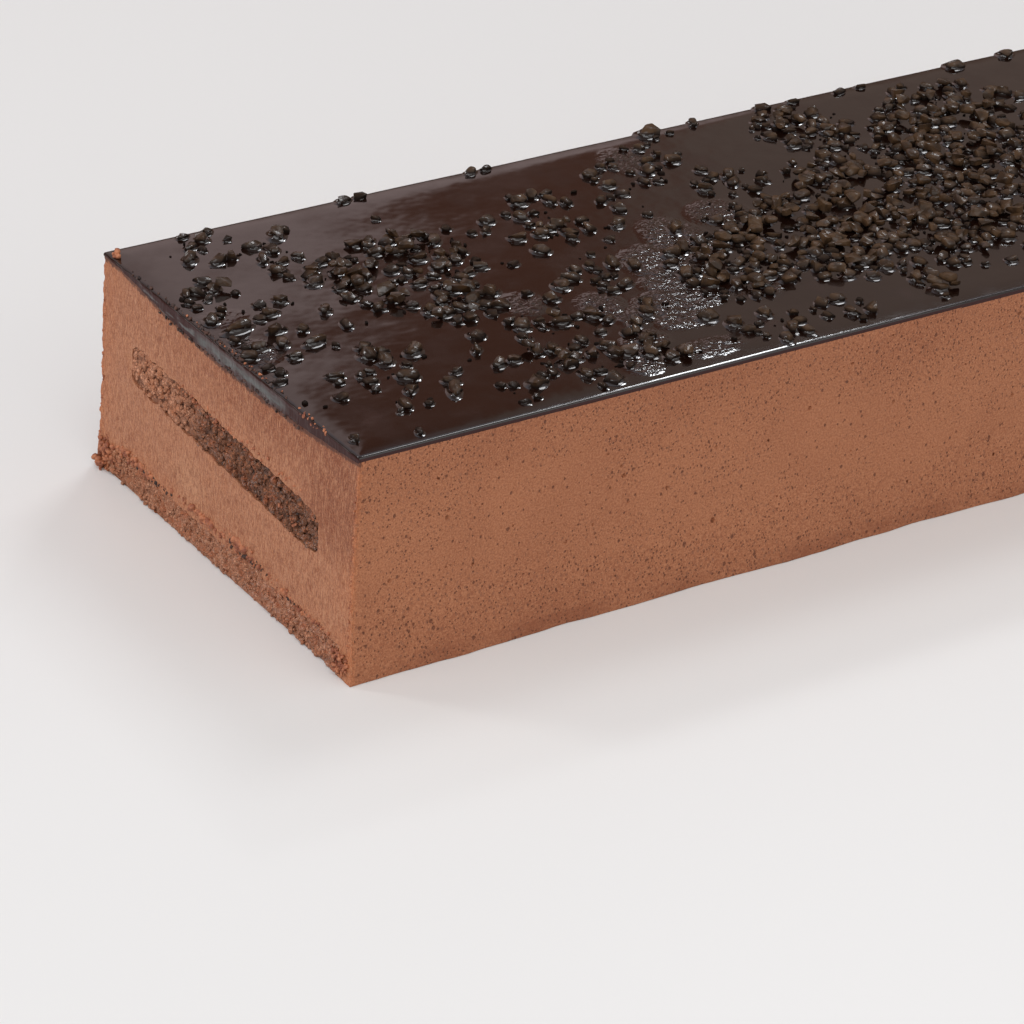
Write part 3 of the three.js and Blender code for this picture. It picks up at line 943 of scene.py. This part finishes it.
darkClusters = [
    ((-0.4, 8, 48.7), (0.5, 36, 0.4), 150, 0.3, 1.0),
    ((0.0, 0, 45.2), (0.2, 30, 0.7), 120, 0.3, 0.9),
    ((-0.1, -12, 8.2), (0.15, 8, 1.0), 50, 0.4, 1.2),
    ((-0.1, 30, 7.2), (0.15, 14, 0.8), 60, 0.3, 1.1),
    ((-0.1, -34, 7.0), (0.15, 10, 0.5), 40, 0.3, 0.8),
]


def clusterSpots(clusters, draw):
    # out of the cut, y, z and size of each crumb
    for middle, spread, count, *sizes in clusters:
        for i in range(count):
            out, y, z = [m + s * (draw() + draw() - 1) for m, s in zip(middle, spread)]
            yield out * mm, y * mm, z * mm, between(sizes, draw() ** 2) * mm


def faceSpots(sponge, spotAt, draw):
    for i in range(sponge["crumbCount"]):
        size = between(sponge["crumbSize"], draw() ** 2)
        y, z = spotAt(2 * draw() - 1, 2 * draw() - 1, size / 2)
        yield between(sponge["crumbOut"], draw()) - 0.2 * size, y, z, size


def insertSpot(v, w, inside):
    return insertPlace(v, w, -0.6 * inside)


def baseSpot(v, w, inside):
    y = v * base["halfWide"]
    return y, (1 + w) / 2 * (baseTop(y) - 0.5 * inside)


def crumbShape(index):
    clearSelection()
    bpy.ops.mesh.primitive_cube_add(size=crumbs["block"])
    shape = bpy.context.object
    editAll()
    bpy.ops.transform.vertex_random(offset=crumbs["skew"], seed=index + 3)
    bpy.ops.mesh.subdivide(number_cuts=1, smoothness=crumbs["puff"])
    bpy.ops.transform.vertex_random(offset=crumbs["dent"], seed=index + 11)
    leaveEdit()
    return shape


def buildCrumbs(name, seed, spotsOf):
    shapes = [crumbShape(i) for i in range(crumbs["shapes"])]
    draw = randomFrom(seed)
    places = []
    for side in (-1, 1):
        for out, y, z, size in spotsOf(draw):
            z = max(z, 0.4 * size)
            spot = Matrix.Translation((side * (cutAt(z) + out), y, z))
            turn = Euler([6.3 * draw() for axis in range(3)]).to_matrix().to_4x4()
            form = Matrix.Diagonal((size, size * (0.6 + 0.4 * draw()), size * (0.5 + 0.4 * draw()), 1))
            places.append((int(draw() * crumbs["shapes"]), spot @ turn @ form))
    joined = strew(name, shapes, places)
    shadeSmooth(joined)
    print(f"{name}: {len(places)} of them")
    return joined


def objectPlace(tree):
    # where a point of the piece is, and its x, y and z
    where = place(tree, "ShaderNodeTexCoord").outputs["Object"]
    return (where, *place(tree, "ShaderNodeSeparateXYZ", Vector=where).outputs)


def stretched(tree, where, stretch, turnX=0, turnZ=0):
    turn = (math.radians(turnX), 0, math.radians(turnZ))
    return place(tree, "ShaderNodeMapping", Vector=where, Rotation=turn, Scale=stretch).outputs[0]


def behindCut(tree, x, z):
    # how far a point lies behind the leaning cut
    lean = times(tree, z, log["lean"] / log["top"])
    return minus(tree, cutAt(0), calc(tree, "ABSOLUTE", x), lean)


def mousseMaterial():
    material, tree, surface = newMaterial("milkMousse")
    where, x, y, z = objectPlace(tree)
    cutAway = behindCut(tree, x, z)
    cut = remap(tree, cutAway, 0.5 * mm, 0.3 * mm)
    sideAway = minus(tree, log["halfWide"], calc(tree, "ABSOLUTE", y))
    broad = noiseValue(tree, where, 24 * mm, 3, 0.5, 4.0)
    cloudy = noiseValue(tree, where, 5 * mm, 3, 0.6, 1.0)
    mottle = noiseValue(tree, where, 2.2 * mm, 3, 0.65, 6.5)
    grain = noiseValue(tree, where, 0.85 * mm, 2, 0.6, 2.5)
    fine = noiseValue(tree, where, 0.4 * mm, 3, 0.7, 0.3)

    # long sides: soft patches, darker near the foot and near the glaze
    patches = remap(tree, broad, 0.35, 0.65, 0.15, 0.85)
    dusk = plus(tree, remap(tree, z, 14 * mm, 3 * mm, 0, 0.3), remap(tree, z, 30 * mm, 44 * mm, 0, 0.3),
                remap(tree, broad, 0.42, 0.62, 0, 0.35))
    sideTone = paintOver(
        tree, blendColors(tree, patches, mousse["dark"], mousse["middle"]), mousse,
        ("light", cloudy, 0.45, 0.75, 0, 0.12),
        ("light", grain, 0.45, 0.75, 0, 0.3),
        ("shade", dusk))

    # cuts: the knife's streaks and hairs, torn and darker at one side, with painted shade under the glaze,
    # more orange near the sides and the foot, and one paler spot
    streaks = noiseValue(tree, stretched(tree, where, (1, 1, 0.12), turnX=12), 0.42 * mm, 3, 0.6)
    hairs = noiseValue(tree, stretched(tree, where, (1, 1, 0.1), turnX=7), 0.2 * mm, 2, 0.6, 4.0)
    atSide = times(tree, remap(tree, y, -24 * mm, -40 * mm), remap(tree, z, 20 * mm, 31 * mm))
    redder = times(tree, atSide, remap(tree, mottle, 0.42, 0.62, 0, 0.75))
    # painted shade under the glaze, stronger towards the near side
    underGlaze = times(tree, remap(tree, z, 31 * mm, 43 * mm), remap(tree, y, 40 * mm, -15 * mm, 0.25, 1))
    tornAndShade = times(tree, calc(tree, "MAXIMUM", atSide, underGlaze), remap(tree, streaks, 0.3, 0.6, 0.45, 1))
    nearFoot = times(tree, remap(tree, z, 13 * mm, 4 * mm), remap(tree, y, -10 * mm, 35 * mm, 0.25, 0.8))
    orange = calc(tree, "MAXIMUM", remap(tree, sideAway, 9 * mm, 0.5 * mm, 0, 0.6), nearFoot)
    orange = times(tree, orange, remap(tree, cloudy, 0.3, 0.6, 0.3, 1))
    tanAway = place(tree, "ShaderNodeVectorMath", {"operation": "DISTANCE"}, Vector=where)
    tanAway.inputs[1].default_value = (-cutAt(0), *mousse["tanSpot"])
    cutTone = paintOver(
        tree, mousse["cut"], mousse,
        ("middle", streaks, 0.35, 0.65, 0, 0.5),
        ("tan", tanAway.outputs["Value"], 9 * mm, 3 * mm, 0, 0.5),
        ("orange", orange),
        ("tornAndShade", tornAndShade),
        ("red", redder),
        ("tornAndShade", hairs, 0.5, 0.64, 0, 0.7),
        ("tan", hairs, 0.5, 0.36, 0, 0.6),
        ("tornAndShade", mottle, 0.53, 0.68, 0, 0.5))
    edge = times(tree, remap(tree, cutAway, 1.3 * mm, 0.3 * mm), remap(tree, sideAway, 1.0 * mm, 0.2 * mm),
                 remap(tree, grain, 0.35, 0.6, 0.2, 0.9))
    # darker in broad patches along the foot
    footBand = times(tree, remap(tree, z, 4.2 * mm, 2.2 * mm), remap(tree, broad, 0.4, 0.6), 0.45)

    # pores, crowded in patches, near the foot and near the glaze; their dark tones are painted shade inside
    # the holes
    crowded = plus(tree, noiseValue(tree, where, 14 * mm, 3, 0.55, 7.0),
                   remap(tree, z, 20 * mm, 5 * mm, 0, 0.16), remap(tree, z, 28 * mm, 42 * mm, 0, 0.16))
    crowded = remap(tree, crowded, 0.4, 0.62, 0.12, 1)
    flat = place(tree, "ShaderNodeCombineXYZ", X=blendValues(tree, cut, x, y), Y=z).outputs[0]
    leaning = stretched(tree, flat, (1, 0.76, 1), turnZ=-25)
    faint, tiny, small, large = [
        useGroup(tree, poreGroup, Where=leaning, Cell=cell, Reach=reach, Rarity=rarity)["Mask"]
        for cell, reach, rarity in mousse["pores"]]
    onSide = minus(tree, 1.0, times(tree, cut, 0.75))
    pore = times(tree, calc(tree, "MAXIMUM", times(tree, tiny, crowded), small, large), onSide)
    faint = times(tree, faint, crowded, onSide)

    # the mousse is darker in a ragged band just below the glaze
    away = calc(tree, "DIVIDE", minus(tree, y, glaze["deepestAt"]), glaze["reach"])
    sag = calc(tree, "SUBTRACT", 1.0, times(tree, away, away), clamp=True)
    sag = times(tree, sag, cut, glaze["middle"] - glaze["edge"])
    below = minus(tree, log["top"] - glaze["edge"], sag, z)
    bandReach = blendValues(tree, cut, 0.9 * mm, 2.6 * mm)
    bandReach = times(tree, noiseValue(tree, where, 1.6 * mm, 3, 0.7, 3.0), bandReach)
    tone = paintOver(
        tree, blendColors(tree, cut, sideTone, cutTone), mousse,
        ("orange", edge),
        ("light", fine, 0.48, 0.62, 0, 0.5),
        ("tornAndShade", fine, 0.52, 0.38, 0, 0.45),
        ("tornAndShade", footBand),
        ("faintPore", times(tree, faint, 0.6)),
        ("pore", times(tree, pore, 0.8)),
        ("belowGlazeTone", minus(tree, below, bandReach), -0.1 * mm, -0.6 * mm, 0, 0.8))

    relief = plus(tree, blendValues(tree, cut, times(tree, grain, 0.8), streaks), times(tree, fine, 0.7))
    hollow = plus(tree, pore, times(tree, faint, 0.3))
    addBump(tree, surface, minus(tree, times(tree, relief, 0.7), hollow), *mousse["bump"])
    setInputs(tree, surface, Base_Color=tone, Roughness=mousse["roughness"],
              Specular_IOR_Level=mousse["specular"])
    return material


def spongeMaterial(name, sponge):
    material, tree, surface = newMaterial(name)
    where, x, y, z = objectPlace(tree)
    crumb = useGroup(tree, crumbGroup, Where=where, Grain=sponge["grain"])
    wander = times(tree, minus(tree, noiseValue(tree, where, 9 * mm, 2, 0.5, 5.0), 0.5), 30 * mm)
    soaked = remap(tree, plus(tree, y, wander), sponge["wetFrom"], sponge["wetTo"])
    tones = {key: blendColors(tree, soaked, sponge["dry"][key], sponge["wet"][key]) for key in sponge["dry"]}
    tone = paintOver(
        tree, tones["middle"], tones,
        ("light", crumb["Tone"], 0.4, 0.62),
        ("stray", noiseValue(tree, where, 3.2 * mm, 3, 0.6, 11.0), 0.5, 0.66, 0, 0.75),
        ("light", noiseValue(tree, where, 0.4 * mm, 2, 0.6, 8.0), 0.52, 0.72, 0, 0.6),
        # painted shade: darker where the sponge lies deeper behind the cut, and in the gaps between its lumps
        ("dark", behindCut(tree, x, z), 0.3 * mm, 0.9 * mm, 0, 0.85),
        ("dark", times(tree, crumb["Deep"], 0.8)))
    drops = remap(tree, noiseValue(tree, where, 0.8 * mm, 2, 0.5, 2.0), 0.5, 0.6)
    drops = times(tree, drops, soaked)
    addBump(tree, surface, crumb["Height"], 0.8, 0.4 * mm)
    setInputs(tree, surface, Base_Color=tone, Roughness=blendValues(tree, drops, 0.8, 0.14),
              Coat_Weight=times(tree, drops, 0.5), Coat_Roughness=0.12)
    return material


def glazeMaterial():
    material, tree, surface = newMaterial("mirrorGlaze")
    where, x, y, z = objectPlace(tree)
    below = minus(tree, log["top"], z)
    behind = minus(tree, log["halfLong"], calc(tree, "ABSOLUTE", x))
    onCut = times(tree, remap(tree, behind, 0.5 * mm, 0.1 * mm), remap(tree, below, 0.5 * mm, 0.9 * mm))
    onBand = remap(tree, below, 0.45 * mm, 0.7 * mm)
    smudge = noiseValue(tree, where, 12 * mm, 4, 0.6, 6.0)

    # painted reflection: a paler grey streak along the middle of the cut stands in for light mirrored by the
    # cut glaze
    strands = noiseValue(tree, stretched(tree, where, (1, 0.12, 1)), 0.7 * mm, 2, 0.5, 3.0)
    strands = times(tree, remap(tree, strands, 0.56, 0.62), remap(tree, y, -30 * mm, -20 * mm))
    middle = times(tree, remap(tree, y, -25 * mm, -20 * mm), remap(tree, y, 14 * mm, 8 * mm))
    middle = calc(tree, "MAXIMUM", middle, strands)
    gleam = noiseValue(tree, stretched(tree, where, (1, 0.3, 1)), 1.1 * mm, 3, 0.65, 8.0)
    wander = times(tree, minus(tree, gleam, 0.5), 2.4 * mm)
    level = minus(tree, below, wander)
    # where the painted reflection lies on the cut face
    cutFaceTone = times(tree, onCut, middle, remap(tree, level, 3.4 * mm, 2.6 * mm),
                   remap(tree, level, 1.1 * mm, 2.0 * mm), remap(tree, gleam, 0.36, 0.6, 0.4, 1))
    color = paintOver(
        tree, glaze["body"], glaze,
        ("smudge", smudge, 0.55, 0.75, 0, 0.6),
        ("bandBody", onBand),
        ("cutSheen", cutFaceTone))

    coat = blendValues(tree, onBand, remap(tree, smudge, 0.45, 0.8, 1.0, 0.7), 0.12)
    coat = blendValues(tree, onCut, coat, blendValues(tree, middle, 0.04, 0.5))
    shine = remap(tree, smudge, 0.4, 0.75, 0.1, 0.25)
    shine = blendValues(tree, calc(tree, "MAXIMUM", onBand, onCut), shine, 0.5)
    wet = place(tree, "ShaderNodeAttribute", {"attribute_name": "wetMask"}).outputs["Fac"]
    ripple = times(tree, noiseValue(tree, where, 7 * mm, 2), 0.35)
    pebbles = times(tree, noiseValue(tree, where, 1.1 * mm, 1, 0.5, 9.0), wet, 2.4)
    strokes = noiseValue(tree, stretched(tree, where, (1, 1, 0.2), turnX=20), 0.9 * mm, 2)
    height = plus(tree, ripple, pebbles, times(tree, strokes, onCut))
    addBump(tree, surface, height, *glaze["bump"], coated=True)
    setInputs(tree, surface, Base_Color=color, Roughness=shine, Specular_IOR_Level=glaze["specular"],
              Coat_Weight=coat, Coat_Roughness=glaze["coatRoughness"])
    return material


def nibMaterial():
    material, tree, surface = newMaterial("cocoaNib")
    where, x, y, z = objectPlace(tree)
    tone = noiseValue(tree, where, 2.4 * mm, 3)
    raised = remap(tree, z, log["top"] + 0.2 * mm, log["top"] + 1.4 * mm)
    farther = remap(tree, x, nibs["nearTo"], nibs["farFrom"])
    dull = blendColors(tree, farther, nibs["nearTone"], nibs["farTone"])
    color = blendColors(tree, remap(tree, tone, 0.35, 0.65, 0.35, 1.0), nibs["foot"], dull)
    # painted shade: each nib turns near black low down, towards the glaze
    color = blendColors(tree, raised, nibs["foot"], color)
    wet = remap(tree, noiseValue(tree, where, 2.4 * mm, 2, 0.5, 6.0), 0.46, 0.56)
    least = remap(tree, farther, 0.0, 1.0, 0.12, 0.0)
    most = remap(tree, farther, 0.0, 1.0, 1.0, 0.55)
    coat = times(tree, blendValues(tree, wet, least, most), remap(tree, raised, 0.0, 0.6))
    addBump(tree, surface, noiseValue(tree, where, 0.7 * mm, 3), *nibs["bump"], coated=True)
    setInputs(tree, surface, Base_Color=color, Roughness=blendValues(tree, raised, *nibs["roughness"]),
              Specular_IOR_Level=nibs["specular"], Coat_Weight=coat, Coat_Roughness=nibs["coatRoughness"])
    return material


def crumbMaterial(name, light, dark):
    material, tree, surface = newMaterial(name)
    where, *rest = objectPlace(tree)
    tone = remap(tree, noiseValue(tree, where, 1.6 * mm, 3), 0.35, 0.65)
    addBump(tree, surface, noiseValue(tree, where, 0.3 * mm, 2), *crumbs["bump"])
    setInputs(tree, surface, Base_Color=blendColors(tree, tone, dark, light), Roughness=crumbs["roughness"])
    return material


buildStage()
nibPiece, collarPiece = buildNibs()
glazePiece = buildGlaze()
moussePiece = buildMousse()
insertPiece = buildInsert()
basePiece = buildBase()
mousseCrumbs = buildCrumbs("mousseCrumbs", 51, lambda draw: clusterSpots(mousseClusters, draw))
darkCrumbs = buildCrumbs("darkCrumbs", 77, lambda draw: clusterSpots(darkClusters, draw))
insertCrumbs = buildCrumbs("insertCrumbs", 91, lambda draw: faceSpots(insert, insertSpot, draw))
baseCrumbs = buildCrumbs("baseCrumbs", 93, lambda draw: faceSpots(base, baseSpot, draw))

glazeLook = glazeMaterial()
finishPiece(moussePiece, mousseMaterial(), ["mousse"])
insertLook = spongeMaterial("moistSponge", insert)
baseLook = spongeMaterial("bakedSponge", base)
finishPiece(insertPiece, insertLook, ["insert_sponge"])
finishPiece(insertCrumbs, insertLook, ["insert_sponge"])
finishPiece(basePiece, baseLook, ["base_sponge"])
finishPiece(baseCrumbs, baseLook, ["base_sponge"])
finishPiece(glazePiece, glazeLook, ["glaze"])
finishPiece(collarPiece, glazeLook, ["glaze"])
finishPiece(nibPiece, nibMaterial(), ["glaze"])
finishPiece(mousseCrumbs, crumbMaterial("mousseCrumb", crumbs["lightTone"], crumbs["darkTone"]))
finishPiece(darkCrumbs, crumbMaterial("darkCrumb", crumbs["cutFaceTone"], crumbs["burnt"]))
print("looks: every piece has its material, body and slot")
